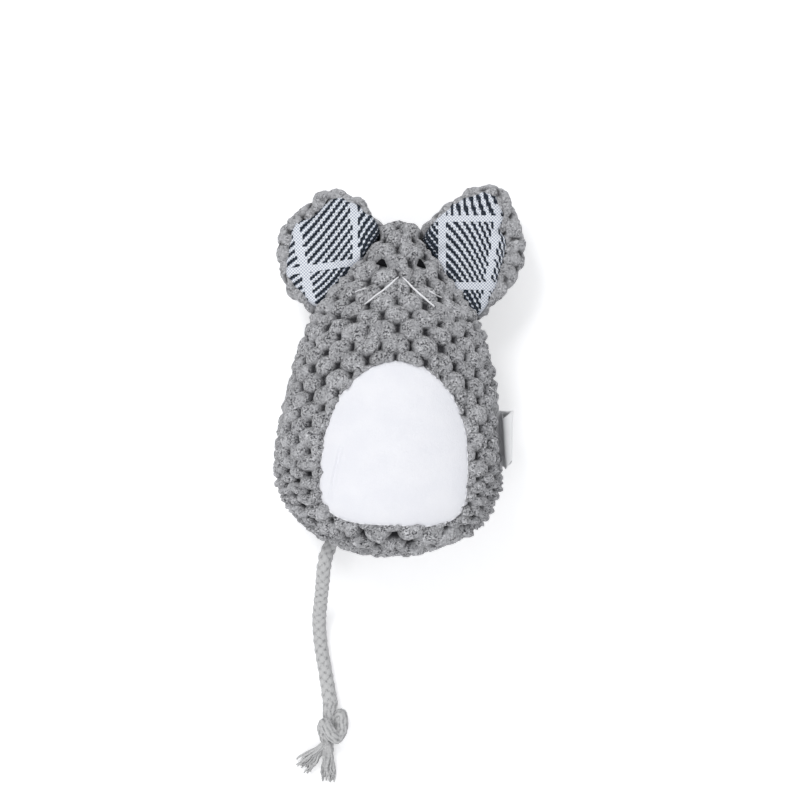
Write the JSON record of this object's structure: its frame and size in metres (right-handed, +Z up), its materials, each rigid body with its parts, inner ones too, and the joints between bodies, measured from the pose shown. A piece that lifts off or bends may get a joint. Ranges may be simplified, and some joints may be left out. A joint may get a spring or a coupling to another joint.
{
  "type": "mouse cat toy",
  "caption": "Stuffed plush mouse lying on its back, with padded cloth ears, a white belly patch, stitched eyes and whiskers, a seam label and a knotted rope tail.",
  "frame": {"origin": "on the ground, in the middle of the flat place on the back that the toy rests on", "axes": "+Y from the tail end to the nose, +Z up out of the belly, +X to the right seen from above"},
  "size_m": [0.087, 0.2037, 0.0457],
  "materials": {
    "plush": "chunky popcorn chenille pile, mid grey",
    "velour": "short smooth white velour",
    "woven_check": "woven cloth, dark diagonal stripes on white with plain white bands",
    "fibre": "loose polyester fibre",
    "sachet_cloth": "thin unbleached cloth",
    "light_thread": "white sewing thread",
    "grey_thread": "grey sewing thread",
    "dark_thread": "black embroidery thread",
    "satin": "white satin ribbon, bare",
    "cotton_rope": "braided cotton rope, pale grey"
  },
  "bodies": {
    "root": {"body_front_panel": "plush", "body_back_panel": "plush", "belly_patch": "velour", "belly_patch_stitch": "light_thread", "side_seam_thread": "grey_thread", "closing_thread": "grey_thread", "filling_front": "fibre", "filling_back": "fibre", "filling_head": "fibre", "catnip_sachet": "sachet_cloth", "ear_left_sewn_tab": "woven_check", "eye_left": "dark_thread", "whisker_left_long": "light_thread", "whisker_left_short": "light_thread", "ear_right_sewn_tab": "woven_check", "eye_right": "dark_thread", "whisker_right_long": "light_thread", "whisker_right_short": "light_thread", "tail_sewn_end": "cotton_rope", "tail_tack": "grey_thread"},
    "ear_left": {"ear_left_plush_back": "plush", "ear_left_wadding": "fibre", "ear_left_woven_front": "woven_check"},
    "ear_right": {"ear_right_plush_back": "plush", "ear_right_wadding": "fibre", "ear_right_woven_front": "woven_check"},
    "label": {"care_label": "satin"},
    "tail": {"tail_cord": "cotton_rope", "tail_knot": "cotton_rope", "tail_tuft_left": "cotton_rope", "tail_tuft_right": "cotton_rope"}
  },
  "joints": [
    {"name": "ear_left_fold", "type": "hinge", "parent": "root", "child": "ear_left", "pos_m": [-0.01786, 0.05394, 0.0185], "axis": [0.5757, 0.8177, 0], "range_deg": [-20, 60], "stiffness_Nm_per_rad": 0.03},
    {"name": "ear_right_fold", "type": "hinge", "parent": "root", "child": "ear_right", "pos_m": [0.01786, 0.05394, 0.0185], "axis": [0.5757, -0.8177, 0], "range_deg": [-20, 60], "stiffness_Nm_per_rad": 0.03},
    {"name": "label_flip", "type": "hinge", "parent": "root", "child": "label", "pos_m": [0.03825, -0.001, 0.0185], "axis": [0.122, -0.9925, 0], "range_deg": [-35, 45], "stiffness_Nm_per_rad": 0.001},
    {"name": "tail_swing", "type": "hinge", "parent": "root", "child": "tail", "pos_m": [-0.01868, -0.04053, 0.0185], "axis": [0, 0, 1], "range_deg": [-45, 45]}
  ]
}
